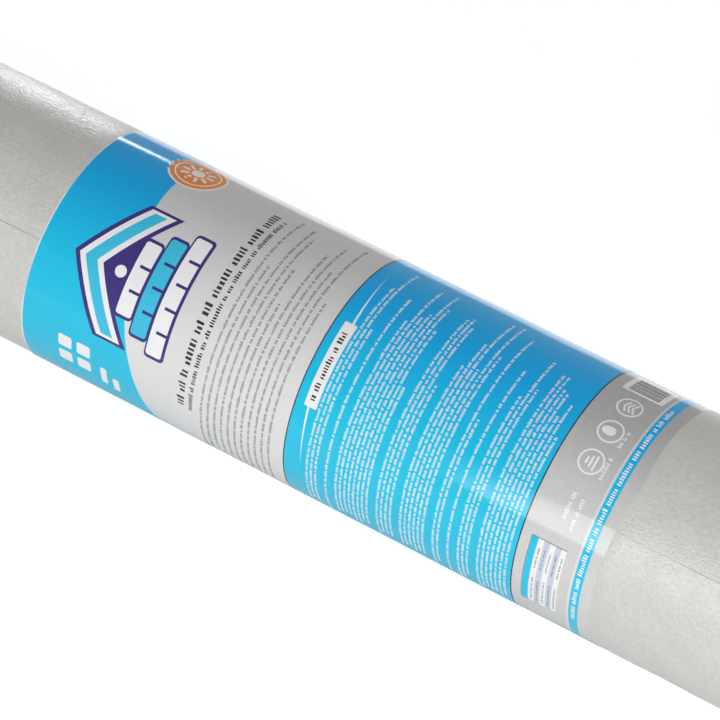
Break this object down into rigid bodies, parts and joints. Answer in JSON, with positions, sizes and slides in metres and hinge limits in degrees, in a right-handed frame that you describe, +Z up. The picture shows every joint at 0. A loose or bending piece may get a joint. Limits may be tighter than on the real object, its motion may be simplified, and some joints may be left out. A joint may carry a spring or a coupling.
{
  "type": "roll of roofing underlayment felt",
  "caption": "Long grey roll of wound roofing underlayment sheet with a round bore and a printed clear film wrapper round its middle, laid flat to be rolled out over a roof deck.",
  "frame": {"origin": "on the floor, under the middle of the roll, where the wrapper touches it", "axes": "+X along the roll's axis towards the near end in the picture, +Z up, -Y towards the side that the picture shows"},
  "size_m": [1.2192, 0.1594, 0.1595],
  "materials": {
    "underlayment_felt": "matte grey coated felt with a fine fibrous emboss",
    "printed_film": "clear glossy film with blue, white and dark print"
  },
  "bodies": {
    "root": {"underlayment_roll": "underlayment_felt", "printed_wrapper": "printed_film"}
  },
  "joints": []
}
